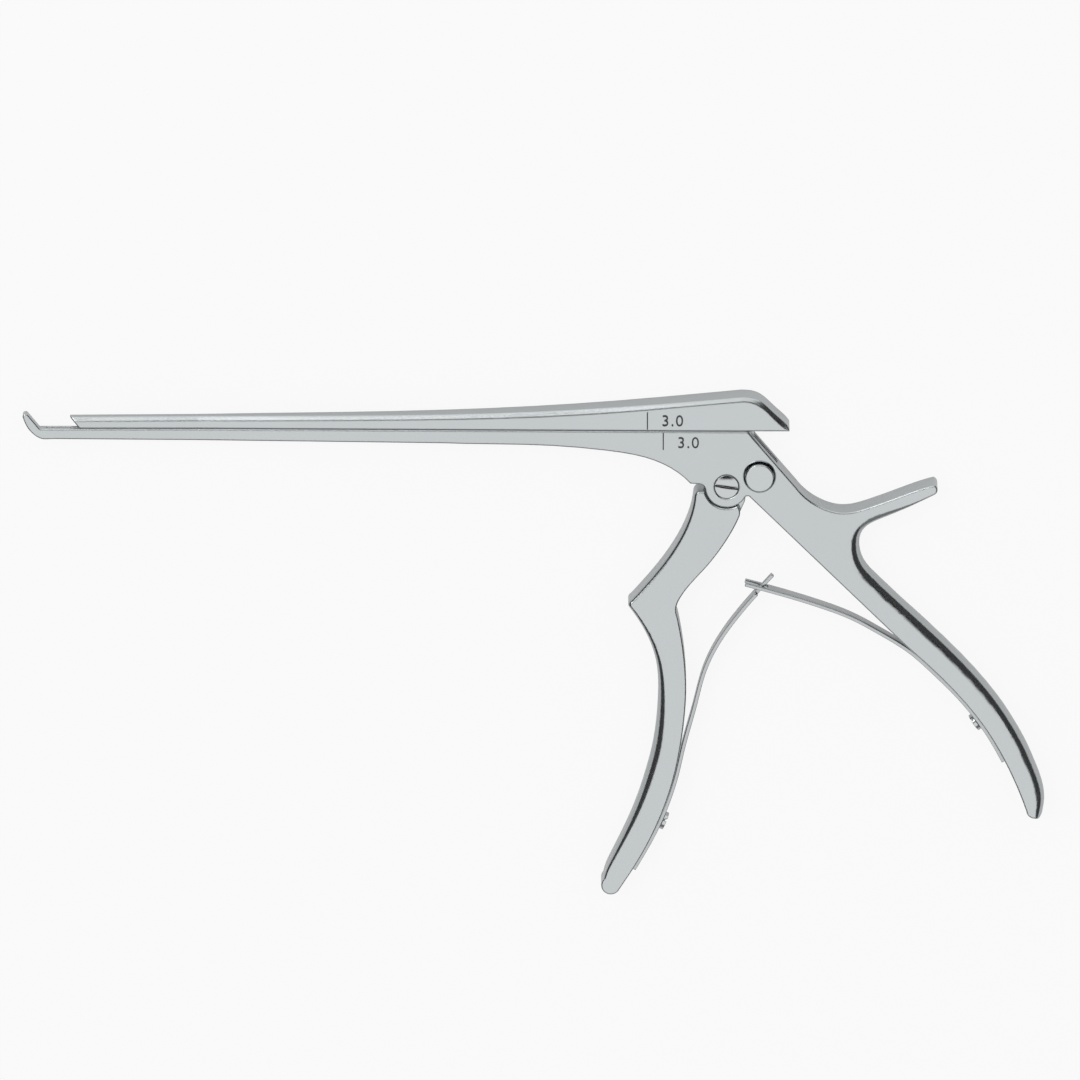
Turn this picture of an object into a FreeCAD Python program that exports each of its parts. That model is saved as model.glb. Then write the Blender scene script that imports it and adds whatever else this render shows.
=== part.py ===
"""Take-apart bone punch of the rongeur kind, as a parametric document in millimetres.

The pivot of the front handle is the model's own zero, with the shaft running towards -X, the
handles hanging towards -Y and the thickness along Z about the middle plane. Placements then
carry every piece so that the punch lies on its flat side with its base's centre at the origin.
"""
import FreeCAD, Part
import math
import os

from FreeCAD import Vector

doc = FreeCAD.newDocument("bone_punch")

# Driving sizes. Lengths in mm, angles in degrees, distances from the pivot where a name says so.
SIZES = {
    # Overall forms
    "thickness": 8.4,
    "slide_plane": 15.3,
    "edge_round": 0.4,
    "palm_round": 3.0,
    "finger_round": 3.0,
    "brow_round": 1.0,
    "running_gap": 0.05,
    "side_gap": 0.1,
    "free_gap": 0.3,
    # Lower shaft and foot plate
    "foot_base": 182.0,
    "foot_height": 3.8,
    "foot_lean": 39.0,
    "foot_tip": 1.3,
    "tip_depth": 2.85,
    "tip_width": 3.0,
    "taper_front": 140.0,
    "taper_rear": 2.0,
    "shaft_depth": 3.65,
    "bite": 10.7,
    # Guide groove in the lower shaft
    "groove_front": 180.2,
    "groove_neck": 1.0,
    "groove_neck_depth": 0.6,
    "groove_foot": 1.9,
    "groove_foot_depth": 0.7,
    # Sliding shaft
    "slider_front_height": 3.1,
    "slider_crown_height": 9.3,
    "slider_crown": 4.0,
    "slider_end": 15.5,
    "slider_chamfer_high": 1.25,
    "slider_chamfer_deep": 0.55,
    "tongue_lead": 2.4,
    "tongue_end": 9.2,
    "cup_length": 5.0,
    "cup_wall": 0.55,
    # Pivot and lever
    "boss_radius": 5.8,
    "boss_gap": 0.2,
    "pivot_radius": 1.6,
    "pivot_head_radius": 3.15,
    "pivot_head_depth": 1.3,
    "pivot_seat_gap": 0.12,
    "pivot_dome": 0.35,
    "pivot_slot": 0.85,
    "pivot_slot_depth": 1.1,
    "screw_slot": 0.7,
    "screw_slot_depth": 0.6,
    "lever_arm": 20.0,
    "lever_lean": 15.0,
    "lever_thickness": 3.0,
    "lever_hub": 5.4,
    "lever_nose": 2.7,
    "drive_pin_radius": 1.25,
    "drive_pin_length": 6.0,
    "nose_room_reach": 5.5,
    "heel_room": 7.6,
    # Release button
    "button_x": 8.7,
    "button_y": 2.85,
    "button_radius": 3.75,
    "button_height": 1.9,
    "button_roof": 0.7,
    "button_edge": 0.3,
    "button_recess_radius": 4.13,
    "button_recess_depth": 1.35,
    "bolt_radius": 2.2,
    "bolt_neck": 1.4,
    "bolt_collar": 2.0,
    "button_travel": 1.2,
    "button_wire": 0.15,
    "button_coil": 1.6,
    "button_turns": 3.0,
    "plug_radius": 2.9,
    "plug_depth": 0.8,
    "plug_slot_depth": 0.4,
    # Leaf springs and their screws
    "leaf_thickness": 1.0,
    "leaf_width": 4.6,
    "fork_slit": 2.2,
    "fork_length": 6.0,
    "tongue_width": 1.5,
    "leaf_screw_radius": 1.1,
    "leaf_screw_head": 2.4,
    "leaf_screw_head_height": 1.0,
    "leaf_screw_depth": 3.6,
    "leaf_seat_gap": 0.02,
    "leaf_lift": 0.3,
    "leaf_screw_gap": 0.06,
}

sheet = doc.addObject("Spreadsheet::Sheet", "sizes")
for row, (alias, value) in enumerate(SIZES.items(), start=1):
    sheet.set("A%d" % row, alias)
    sheet.set("B%d" % row, str(value))
    sheet.setAlias("B%d" % row, alias)
doc.recompute()


def size(alias):
    """Read one driving size back from the sheet."""
    return float(getattr(sheet, alias))


def plane(body, role):
    """Return one of a body's own origin planes."""
    return next(feature for feature in body.Origin.OriginFeatures if feature.Role == role)


def polar(radius, degrees, centre=(0.0, 0.0)):
    """Return a point at a radius and an angle from a centre."""
    angle = math.radians(degrees)
    return (centre[0] + radius * math.cos(angle), centre[1] + radius * math.sin(angle))


def point(pair):
    """Turn a pair into a vector in a sketch's plane."""
    return Vector(pair[0], pair[1], 0)


def outline(start, *steps):
    """Return a closed run of curves: each step is a line to a point, ("arc", through, end),
    or ("curve", points) for a smooth stretch through chosen points."""
    curves = []
    here = start
    for step in steps:
        if step[0] == "arc":
            curves.append(Part.Arc(point(here), point(step[1]), point(step[2])))
            here = step[2]
        elif step[0] == "curve":
            spline = Part.BSplineCurve()
            through = [point(here)] + [point(pair) for pair in step[1]]
            if len(step) > 2:
                spline.interpolate(Points=through, InitialTangent=point(step[2]),
                                   FinalTangent=point(step[3]))
            else:
                spline.interpolate(through)
            curves.append(spline)
            here = step[1][-1]
        else:
            curves.append(Part.LineSegment(point(here), point(step)))
            here = step
    if math.dist(here, start) > 1e-6:
        curves.append(Part.LineSegment(point(here), point(start)))
    return curves


def draw(body, name, role, curves):
    """Add a sketch with a closed outline on one of a body's origin planes."""
    drawing = body.newObject("Sketcher::SketchObject", name)
    drawing.AttachmentSupport = [(plane(body, role), "")]
    drawing.MapMode = "FlatFace"
    drawing.addGeometry(curves, False)
    doc.recompute()
    return drawing


def pad(body, name, curves, length, role="XY_Plane"):
    """Raise an outline to both sides of its plane, its length bound to the sheet."""
    drawing = draw(body, name + "_outline", role, curves)
    feature = body.newObject("PartDesign::Pad", name)
    feature.Profile = drawing
    feature.Midplane = True
    feature.setExpression("Length", length)
    doc.recompute()
    return feature


def pocket(body, name, curves, length, role="XY_Plane"):
    """Cut an outline to both sides of its plane, its length bound to the sheet."""
    before = body.Shape.Volume
    drawing = draw(body, name + "_outline", role, curves)
    feature = body.newObject("PartDesign::Pocket", name)
    feature.Profile = drawing
    feature.Midplane = True
    feature.setExpression("Length", length)
    doc.recompute()
    if body.Shape.Volume >= before:
        raise RuntimeError("%s cuts nothing" % name)
    return feature


def cylinder(name, radius, height, base, lift=0.0):
    """Add a cylinder along Z whose sizes are expressions, its foot at a base and height."""
    rod = doc.addObject("Part::Cylinder", name)
    rod.setExpression("Radius", radius)
    rod.setExpression("Height", height)
    rod.Placement.Base = Vector(base[0], base[1], lift)
    return rod


def cut(name, base, *tools):
    """Take tools away from a base, one after the other."""
    result = base
    for number, tool in enumerate(tools, start=1):
        feature = doc.addObject("Part::Cut", "%s_%d" % (name, number))
        feature.Base = result
        feature.Tool = tool
        result = feature
    doc.recompute()
    return result


def fuse(name, *parts):
    """Join solids of one piece."""
    feature = doc.addObject("Part::MultiFuse", name)
    feature.Shapes = list(parts)
    feature.Refine = True
    doc.recompute()
    return feature


def round_edges(name, base, picks):
    """Round edges of a piece: picks gives each edge's number with its two end radii."""
    feature = doc.addObject("Part::Fillet", name)
    feature.Base = base
    feature.Edges = picks
    doc.recompute()
    return feature


def rim_picks(shape, stretches, radius, keep):
    """Picks for a piece's two flat faces: named stretches, each from one point to another with
    its own radius at both ends, and every other rim edge that keep accepts at one radius."""
    picks = []
    for number, edge in enumerate(shape.Edges, start=1):
        ends = [vertex.Point for vertex in edge.Vertexes]
        if len(ends) < 2 or any(abs(abs(end.z) - HALF) > 1e-4 for end in ends):
            continue
        if abs(ends[0].z - ends[1].z) > 1e-4:
            continue
        for start, finish, start_radius, finish_radius in stretches:
            if math.dist(ends[0][:2], start) < 0.01 and math.dist(ends[1][:2], finish) < 0.01:
                picks.append((number, start_radius, finish_radius))
                break
            if math.dist(ends[1][:2], start) < 0.01 and math.dist(ends[0][:2], finish) < 0.01:
                picks.append((number, finish_radius, start_radius))
                break
        else:
            if keep(edge):
                picks.append((number, radius, radius))
    return picks


HALF = size("thickness") / 2
SLIDE = size("slide_plane")
FOOT = -size("foot_base")
FRONT = FOOT + size("bite")
LEAN = math.radians(size("lever_lean"))
ARM = size("lever_arm")
PIN_REST = (ARM * math.sin(LEAN), ARM * math.cos(LEAN))
FOOT_LEAN = math.radians(size("foot_lean"))
BOSS = size("boss_radius")
HANDLE_ARC = BOSS + size("boss_gap")
SLOT_HALF = size("lever_thickness") / 2 + size("side_gap")
BUTTON = (size("button_x"), size("button_y"))
FINE = size("edge_round")
LEVER_SLOT = "sizes.lever_thickness + 2 * sizes.side_gap"
# How far a cutting tool reaches past the metal
OVER = 12.0


def taper_sides(front_x):
    """Outlines in the XZ plane of the two wedges that narrow a shaft towards its tip."""
    narrow = size("tip_width") / 2
    start = -size("taper_front")
    end = -size("taper_rear")
    reach = HALF + 1.0
    wedges = []
    for side in (1, -1):
        wedges += outline(
            (front_x, side * narrow), (start, side * narrow), (end, side * HALF),
            (end, side * reach), (front_x, side * reach))
    return wedges


def guide_bar(name, gap, top, front, rear):
    """Straight bar of the T-shaped guide section, smaller than its groove by a gap all round."""
    neck = size("groove_neck") / 2 - gap
    foot = size("groove_foot") / 2 - gap
    under = SLIDE - size("groove_neck_depth") - gap
    floor = SLIDE - size("groove_neck_depth") - size("groove_foot_depth") + gap
    section = [(-neck, top), (-neck, under), (-foot, under), (-foot, floor),
               (foot, floor), (foot, under), (neck, under), (neck, top)]
    corners = [Vector(front, height, across) for across, height in section]
    bar = doc.addObject("Part::Feature", name)
    face = Part.Face(Part.makePolygon(corners + corners[:1]))
    bar.Shape = face.extrude(Vector(rear - front, 0, 0))
    return bar


def turned(name, radius, height, start, direction):
    """Cylinder from a start point along a direction, its sizes as expressions."""
    rod = doc.addObject("Part::Cylinder", name)
    rod.setExpression("Radius", radius)
    rod.setExpression("Height", height)
    rod.Placement = FreeCAD.Placement(start, FreeCAD.Rotation(Vector(0, 0, 1), direction))
    return rod


# Inner sides of the two handles, which the leaf springs lie on
REAR_INNER = [(48.0, -44.4), (58.8, -54.8), (68.3, -66.3), (75.0, -78.0), (79.9, -90.0)]
FRONT_INNER = [(-25.4, -107.3), (-18.9, -95.3), (-14.2, -82.3), (-11.3, -66.6), (-10.6, -57.0),
               (-11.2, -46.0), (-12.9, -36.0)]

# Rear handle: palm side from its end up to the fork, and the spur
PALM_END = (84.2, -90.9)
PALM_BEND = (75.3, -63.9)
PALM_RISE = (-0.52, 0.85)
FORK = (35.2, -16.0)
SPUR_END = (55.0, -2.3)
foot_rise = size("foot_height")
foot_top = FOOT - foot_rise * math.tan(FOOT_LEAN)
foot_tip = size("foot_tip")
belly = SLIDE - size("shaft_depth")
tip_belly = SLIDE - size("tip_depth")
frame_side = outline(
    (FOOT, SLIDE),
    (foot_top, SLIDE + foot_rise),
    ("arc", (foot_top - 0.6 * foot_tip, SLIDE + foot_rise + 0.15),
     (foot_top - foot_tip, SLIDE + foot_rise - 0.55)),
    ("curve", [(foot_top + 1.15, SLIDE - 1.2), (FOOT + 0.4, tip_belly + 0.1),
               (FOOT + 4.0, tip_belly)], (0.3, -1.0), (1.0, 0.0)),
    (-75.0, belly),
    ("curve", [(-50.0, belly - 0.4), (-31.0, belly - 1.9), (-19.0, belly - 4.5),
               (-13.0, belly - 7.7), (-9.6, 0.9)]),
    (-7.3, 0.75),
    ("curve", [(-6.3, 0.3), polar(BOSS, 190)]),
    ("arc", polar(BOSS, 270), polar(BOSS, 332)),
    (5.9, -2.65),
    REAR_INNER[0],
    ("curve", REAR_INNER[1:]),
    ("arc", (81.6, -92.0), PALM_END),
    ("curve", [(84.7, -87.5), (82.0, -77.0), PALM_BEND], (0.15, 1.0), PALM_RISE),
    ("curve", [(65.8, -51.3), (51.4, -36.7), (39.1, -24.8), FORK], PALM_RISE, (0.0, 1.0)),
    ("curve", [(40.8, -9.3), (48.0, -5.9), SPUR_END], (0.0, 1.0), (1.0, 0.5)),
    ("arc", (55.9, -0.9), (54.9, 0.5)),
    ("curve", [(46.3, -2.4), (37.5, -5.7), (31.1, -7.1), (24.5, -5.3), (18.6, -0.3)]),
    (6.4, 14.2),
    ("arc", (5.9, 14.9), (5.0, SLIDE)))

# Fixed body: lower shaft with foot plate, head, rear handle and finger spur in one forging
frame = doc.addObject("PartDesign::Body", "frame_body")
pad(frame, "frame_blank", frame_side, "sizes.thickness")
pocket(frame, "shaft_taper", taper_sides(FOOT - 6.0), "4 * sizes.slide_plane", "XZ_Plane")
hub_clear = size("lever_hub") + size("free_gap") + size("boss_gap")
heel_room = size("heel_room")
slot_side = outline(
    (-9.4, SLIDE + 1.0),
    (-hub_clear, 0.0),
    (-hub_clear, -BOSS - 1.0),
    polar(BOSS + 3.0, 300),
    polar(heel_room, 325),
    ("arc", polar(heel_room, 342), polar(heel_room, 0)),
    (13.9, 6.0),
    (13.9, SLIDE + 1.0))
pocket(frame, "lever_slot", slot_side, LEVER_SLOT)
palm = size("palm_round")
palm_stretches = [(PALM_END, PALM_BEND, FINE, palm), (PALM_BEND, FORK, palm, palm),
                  (FORK, SPUR_END, palm, FINE)]
frame_round = round_edges(
    "frame_round", frame,
    rim_picks(frame.Shape, palm_stretches, FINE, lambda edge: edge.BoundBox.XMin > -8.0))
screw_reach = "sizes.leaf_screw_depth + sizes.leaf_thickness"


def foot_path(inner, side, first, last, bow):
    """Middle line of a leaf spring: beside a handle's inner side from first to last, each a
    point on it, lifting off towards last, then through the points of its free bow."""
    edge = Part.BSplineCurve()
    edge.interpolate([point(pair) for pair in inner])
    begin = edge.parameter(point(first))
    finish = edge.parameter(point(last))
    middle = []
    for share in (0.0, 0.2, 0.4, 0.6, 0.8, 1.0):
        place = begin + (finish - begin) * share
        along = edge.tangent(place)[0]
        beside = size("leaf_thickness") / 2 + size("leaf_seat_gap") + size("leaf_lift") * share ** 3
        middle.append(edge.value(place) + Vector(-along.y, along.x, 0) * side * beside)
    path = Part.BSplineCurve()
    path.interpolate(middle + [point(pair) for pair in bow])
    return path


def leaf_side(path, steps=16):
    """Side outline of a leaf spring as two smooth curves either side of its middle line."""
    half = size("leaf_thickness") / 2
    left = []
    right = []
    for index in range(steps + 1):
        place = path.FirstParameter + (path.LastParameter - path.FirstParameter) * index / steps
        centre = path.value(place)
        along = path.tangent(place)[0]
        across = Vector(-along.y, along.x, 0) * half
        left.append(((centre + across).x, (centre + across).y))
        right.append(((centre - across).x, (centre - across).y))
    return outline(left[0], ("curve", left[1:]), right[-1], ("curve", right[::-1][1:]))


def leaf_screw_place(path, near, side):
    """Point of a screw's axis on its spring's free face, and its direction into the handle."""
    place = path.parameter(point(near))
    along = path.tangent(place)[0]
    inward = Vector(-along.y, along.x, 0) * side
    stand = size("leaf_thickness") / 2 + size("leaf_screw_gap")
    return path.value(place) - inward * stand, inward


def leaf_spring(name, path, screw_at, inward):
    """Leaf spring of full width along its path, drilled for its screw."""
    body = doc.addObject("PartDesign::Body", name + "_body")
    pad(body, name + "_bar", leaf_side(path), "sizes.leaf_width")
    hole = turned(name + "_hole", "sizes.leaf_screw_radius", "3 * sizes.leaf_thickness",
                  screw_at - inward * size("leaf_thickness"), inward)
    return cut(name + "_drilled", body, hole)


def leaf_screw(name, screw_at, inward):
    """Pan-head screw that holds a leaf spring to its handle, with a slot across its head."""
    shank = turned(name + "_shank", "sizes.leaf_screw_radius", screw_reach, screw_at, inward)
    head = turned(name + "_head", "sizes.leaf_screw_head", "sizes.leaf_screw_head_height",
                  screw_at - inward * size("leaf_screw_head_height"), inward)
    both = fuse(name + "_solid", shank, head)
    slot = doc.addObject("Part::Box", name + "_slot")
    slot.setExpression("Length", "4 * sizes.leaf_screw_head")
    slot.setExpression("Width", "sizes.screw_slot")
    slot.setExpression("Height", "sizes.screw_slot_depth")
    turn = FreeCAD.Rotation(Vector(0, 0, 1), inward)
    outer = screw_at - inward * size("leaf_screw_head_height")
    shift = turn.multVec(Vector(-2 * size("leaf_screw_head"), -size("screw_slot") / 2, 0))
    slot.Placement = FreeCAD.Placement(outer + shift, turn)
    return cut(name + "_slotted", both, slot)


# Leaf springs, crossing between the handles
rear_path = foot_path(REAR_INNER, -1, (74.3, -76.5), (49.5, -45.8),
                      [(40.7, -41.0), (33.3, -36.9), (25.8, -33.9), (12.9, -29.8), (5.0, -27.6)])
front_path = foot_path(FRONT_INNER, -1, (-24.9, -106.4), (-12.2, -73.0),
                       [(-8.2, -61.0), (-5.7, -51.5), (-1.0, -42.0), (4.7, -34.2),
                        (12.3, -25.4)])
rear_screw_at, rear_inward = leaf_screw_place(rear_path, (66.6, -66.0), -1)
front_screw_at, front_inward = leaf_screw_place(front_path, (-17.6, -93.2), 1)
rear_leaf = leaf_spring("rear_leaf", rear_path, rear_screw_at, rear_inward)
front_leaf = leaf_spring("front_leaf", front_path, front_screw_at, front_inward)
fork_slit = doc.addObject("Part::Box", "fork_slit")
fork_slit.setExpression("Length", "sizes.fork_length + 2")
fork_slit.Width = OVER
fork_slit.setExpression("Height", "sizes.fork_slit")
fork_slit.Placement.Base = Vector(3.0, -34.0, -size("fork_slit") / 2)
rear_leaf = cut("rear_leaf_fork", rear_leaf, fork_slit)
shoulder_turn = FreeCAD.Rotation(Vector(0, 0, 1), 47)
for side, lift in ((1, size("tongue_width") / 2), (-1, -size("tongue_width") / 2)):
    block = doc.addObject("Part::Box", "tongue_side_%s" % ("near" if side > 0 else "far"))
    block.Length = OVER
    block.Width = OVER
    block.setExpression("Height", "sizes.leaf_width")
    base = Vector(8.0, -30.2, lift if side > 0 else lift - size("leaf_width"))
    block.Placement = FreeCAD.Placement(
        base + shoulder_turn.multVec(Vector(0, -OVER / 2, 0)), shoulder_turn)
    front_leaf = cut("front_leaf_%s" % ("near" if side > 0 else "far"), front_leaf, block)
rear_screw = leaf_screw("rear_screw", rear_screw_at, rear_inward)
front_screw = leaf_screw("front_screw", front_screw_at, front_inward)

# Bores of the fixed body
guide_room = guide_bar("guide_room", 0.0, SLIDE + 1.0, -size("groove_front"), 13.0)
pivot_hole = cylinder("pivot_hole", "sizes.pivot_radius", "2 * sizes.thickness", (0, 0),
                      -size("thickness"))
pivot_seat = cylinder("pivot_seat", "sizes.pivot_head_radius + sizes.pivot_seat_gap",
                      "sizes.thickness", (0, 0),
                      HALF - size("pivot_head_depth"))
bolt_hole = cylinder("bolt_hole", "sizes.bolt_neck + sizes.running_gap",
                     "sizes.thickness", BUTTON)
button_recess = cylinder("button_recess", "sizes.button_recess_radius", "sizes.thickness",
                         BUTTON, HALF - size("button_recess_depth"))
collar_hole = cylinder("collar_hole", "sizes.bolt_radius + sizes.running_gap",
                       "sizes.thickness", BUTTON, SLOT_HALF - size("thickness"))
plug_seat = cylinder("plug_seat", "sizes.plug_radius", "sizes.thickness", BUTTON,
                     -HALF + size("plug_depth") - size("thickness"))
rear_hole = turned("rear_screw_hole", "sizes.leaf_screw_radius", screw_reach, rear_screw_at,
                   rear_inward)
frame_cut = cut("frame_cut", frame_round, guide_room, pivot_hole, pivot_seat, bolt_hole,
                button_recess, collar_hole, plug_seat, rear_hole)

# Sliding shaft: bevelled sections along its length, hollow at its bite
rise = size("slider_front_height")
crown = size("slider_crown_height")
crown_x = size("slider_crown")
end_x = size("slider_end")
bottom = SLIDE + size("running_gap")


def half_width(x):
    """Half width of both shafts at a distance along them."""
    narrow = size("tip_width") / 2
    share = (x + size("taper_front")) / (size("taper_front") - size("taper_rear"))
    return narrow + (HALF - narrow) * min(max(share, 0.0), 1.0)


def slider_section(x, height, steep):
    """Closed section of the sliding shaft with bevelled top corners. steep lengthens the
    bevel where the top slopes down, so that it stays as wide across the slope."""
    wide = half_width(x)
    flat = wide - size("slider_chamfer_deep")
    top = SLIDE + height
    shoulder_height = top - min(size("slider_chamfer_high") * steep, height - 0.2)
    section = [(-wide, bottom), (-wide, shoulder_height), (-flat, top), (flat, top),
               (wide, shoulder_height), (wide, bottom)]
    corners = [Vector(x, tall, across) for across, tall in section]
    return Part.makePolygon(corners + corners[:1])


def slider_length(name, stations, ruled):
    """Solid stretch of the sliding shaft through its stations."""
    stretch = doc.addObject("Part::Feature", name)
    stretch.Shape = Part.makeLoft([slider_section(*station) for station in stations], True, ruled)
    return stretch


taper_x = -size("taper_front")
tip_stations = [(FRONT - 8.0, rise, 1.0), (taper_x, rise + 0.25, 1.0)]
shaft_stations = [tip_stations[-1], (-100.0, rise + 0.6, 1.05), (-73.0, rise + 1.1, 1.1),
                  (-50.0, rise + 2.0, 1.2), (-28.0, rise + 3.4, 1.15),
                  (-9.0, crown - 1.2, 1.0), (crown_x, crown, 1.0)]
rear_stations = [shaft_stations[-1], (crown_x + 3.0, crown - 0.3, 1.1),
                 (crown_x + 6.0, crown - 1.9, 1.3), (end_x - 2.6, crown - 4.7, 1.45),
                 (end_x + 0.6, 1.5, 0.9), (end_x + 1.1, 0.75, 0.4)]
slider_tip = slider_length("slider_tip", tip_stations, True)
slider_shaft = slider_length("slider_shaft", shaft_stations, False)
slider_rear = slider_length("slider_rear", rear_stations, False)
slider_long = fuse("slider_long", slider_tip, slider_shaft, slider_rear)
front_cut = doc.addObject("Part::Box", "slider_front_cut")
front_cut.Length = 2 * OVER
front_cut.Width = 2 * OVER
front_cut.Height = OVER
front_turn = FreeCAD.Rotation(Vector(0, 0, 1), size("foot_lean"))
front_cut.Placement = FreeCAD.Placement(
    Vector(FRONT, SLIDE, -OVER / 2) + front_turn.multVec(Vector(-2 * OVER, -OVER, 0)), front_turn)
slider_bevel = cut("slider_fronted", slider_long, front_cut)
tongue = guide_bar("slider_tongue", size("running_gap"), SLIDE + 0.5,
                   FRONT + size("tongue_lead"), size("tongue_end"))
slider_joined = fuse("slider_joined", slider_bevel, tongue)
nose = size("lever_nose")
room = nose + size("free_gap")
reach = size("nose_room_reach")
nose_room = doc.addObject("PartDesign::Body", "nose_room")
pad(nose_room, "nose_room_block", outline(
    (PIN_REST[0] - reach, SLIDE - 2.5),
    (PIN_REST[0] - reach, SLIDE + 1.3),
    (PIN_REST[0] - room, ARM),
    ("arc", (PIN_REST[0], ARM + room), (PIN_REST[0] + room, ARM)),
    (PIN_REST[0] + reach, SLIDE + 1.3),
    (PIN_REST[0] + reach, SLIDE - 2.5)), LEVER_SLOT)
pin_half = size("drive_pin_radius") + size("running_gap")
pin_room = doc.addObject("PartDesign::Body", "pin_room")
pad(pin_room, "pin_room_block", outline(
    (PIN_REST[0] - pin_half, SLIDE - 2.5),
    (PIN_REST[0] - pin_half, ARM + 0.2),
    ("arc", (PIN_REST[0], ARM + pin_half + 0.2), (PIN_REST[0] + pin_half, ARM + 0.2)),
    (PIN_REST[0] + pin_half, SLIDE - 2.5)), "sizes.drive_pin_length + 2 * sizes.side_gap")
cup_room = doc.addObject("PartDesign::Body", "cup_room")
pad(cup_room, "cup_room_block", outline(
    (FRONT - 5.0, SLIDE + 0.45),
    (FRONT + size("cup_length"), SLIDE + 0.45),
    (FRONT + size("cup_length") - 1.5, SLIDE + rise - 0.75),
    (FRONT - 5.0, SLIDE + rise - 0.75)), "sizes.tip_width - 2 * sizes.cup_wall")
slider_cut = cut("slider_cut", slider_joined, nose_room, pin_room, cup_room)

# Front handle with the lever that drives the sliding shaft
KNEE = (-25.9, -33.2)
FINGER_TOP = (-18.3, -50.5)
FINGER_MIDDLE = (-20.3, -76.0)
FINGER_END = (-32.6, -109.0)
handle_side = outline(
    polar(HANDLE_ARC, 193),
    (-7.5, -1.35),
    ("arc", (-8.3, -1.8), (-8.75, -2.8)),
    ("curve", [(-9.9, -8.3), (-13.0, -15.3), (-17.0, -21.5), (-25.3, -31.5)]),
    ("arc", (-26.0, -32.4), KNEE),
    ("curve", [(-21.4, -40.4), FINGER_TOP], (0.6, -0.8), (0.12, -1.0)),
    ("curve", [(-18.1, -60.0), FINGER_MIDDLE], (0.12, -1.0), (-0.25, -0.97)),
    ("curve", [(-24.8, -90.5), (-30.6, -103.5), FINGER_END], (-0.25, -0.97), (-0.2, -1.0)),
    ("arc", (-31.2, -113.1), (-28.3, -111.8)),
    FRONT_INNER[0],
    ("curve", FRONT_INNER[1:]),
    ("curve", [(-13.2, -33.2), (-12.1, -30.6), (-5.2, -22.1), (-1.1, -16.6), (3.3, -8.6)]),
    ("arc", (3.6, -7.0), polar(HANDLE_ARC, 299)),
    ("arc", polar(HANDLE_ARC, 250), polar(HANDLE_ARC, 193)))
handle = doc.addObject("PartDesign::Body", "handle_body")
pad(handle, "handle_blank", handle_side, "sizes.thickness")
finger = size("finger_round")
brow = size("brow_round")
handle_stretches = [
    ((-8.75, -2.8), (-25.3, -31.5), brow, brow),
    ((-25.3, -31.5), KNEE, brow, brow),
    (KNEE, FINGER_TOP, brow, 0.6 * finger),
    (FINGER_TOP, FINGER_MIDDLE, 0.6 * finger, finger),
    (FINGER_MIDDLE, FINGER_END, finger, 2 * FINE)]
handle_round = round_edges(
    "handle_round", handle, rim_picks(handle.Shape, handle_stretches, FINE, lambda edge: True))
pin_direction = math.degrees(math.atan2(PIN_REST[1], PIN_REST[0]))
hub = size("lever_hub")
wrap = math.degrees(math.acos((hub - nose) / ARM))
heel_out = (BUTTON[0] * math.cos(LEAN) - BUTTON[1] * math.sin(LEAN)
            - size("bolt_radius") - 3 * size("running_gap"))


def beside_arm(along, out):
    """Point at a distance along the lever's arm from the pivot and out towards the button."""
    return (along * math.sin(LEAN) + out * math.cos(LEAN),
            along * math.cos(LEAN) - out * math.sin(LEAN))


lever_side = outline(
    polar(hub, 180),
    polar(hub, pin_direction + wrap),
    polar(nose, pin_direction + wrap, PIN_REST),
    ("arc", polar(nose, pin_direction, PIN_REST), polar(nose, pin_direction - wrap, PIN_REST)),
    beside_arm(7.2, heel_out - 0.4),
    beside_arm(6.4, heel_out),
    beside_arm(3.2, heel_out),
    (5.3, -1.2),
    (4.9, -4.6),
    (3.0, -9.0),
    (0.0, -10.0),
    (-5.0, -7.0))
lever = doc.addObject("PartDesign::Body", "lever_body")
pad(lever, "lever_arm", lever_side, "sizes.lever_thickness")
handle_joined = fuse("handle_joined", handle_round, lever)
hub_hole = cylinder("hub_hole", "sizes.pivot_radius + sizes.running_gap",
                    "2 * sizes.thickness", (0, 0), -size("thickness"))
nose_hole = cylinder("nose_hole", "sizes.drive_pin_radius", "sizes.thickness", PIN_REST, -HALF)
front_hole = turned("front_screw_hole", "sizes.leaf_screw_radius", screw_reach,
                    front_screw_at, front_inward)
handle_cut = cut("handle_cut", handle_joined, hub_hole, nose_hole, front_hole)

# Pivot screw: slotted, slightly domed head let into the head's near cheek
pivot_shank = cylinder("pivot_shank", "sizes.pivot_radius",
                       "sizes.thickness - sizes.pivot_head_depth", (0, 0), -HALF)
pivot_head = cylinder("pivot_head", "sizes.pivot_head_radius",
                      "sizes.pivot_head_depth + sizes.pivot_dome", (0, 0),
                      HALF - size("pivot_head_depth"))
dome = size("pivot_dome")
dome_radius = (size("pivot_head_radius") ** 2 + dome ** 2) / (2 * dome)
ball = doc.addObject("Part::Sphere", "pivot_ball")
ball.Radius = dome_radius
ball.Placement.Base = Vector(0, 0, HALF + dome - dome_radius)
domed_head = doc.addObject("Part::Common", "pivot_domed_head")
domed_head.Base = pivot_head
domed_head.Tool = ball
pivot_solid = fuse("pivot_solid", pivot_shank, domed_head)
pivot_slot = doc.addObject("Part::Box", "pivot_slot")
pivot_slot.setExpression("Length", "4 * sizes.pivot_head_radius")
pivot_slot.setExpression("Width", "sizes.pivot_slot")
pivot_slot.setExpression("Height", "sizes.pivot_slot_depth + sizes.pivot_dome")
slot_turn = FreeCAD.Rotation(Vector(0, 0, 1), -8)
slot_shift = slot_turn.multVec(Vector(-2 * size("pivot_head_radius"), -size("pivot_slot") / 2, 0))
pivot_slot.Placement = FreeCAD.Placement(
    slot_shift + Vector(0, 0, HALF - size("pivot_slot_depth")), slot_turn)
pivot_screw = cut("pivot_screw_slotted", pivot_solid, pivot_slot)

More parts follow.
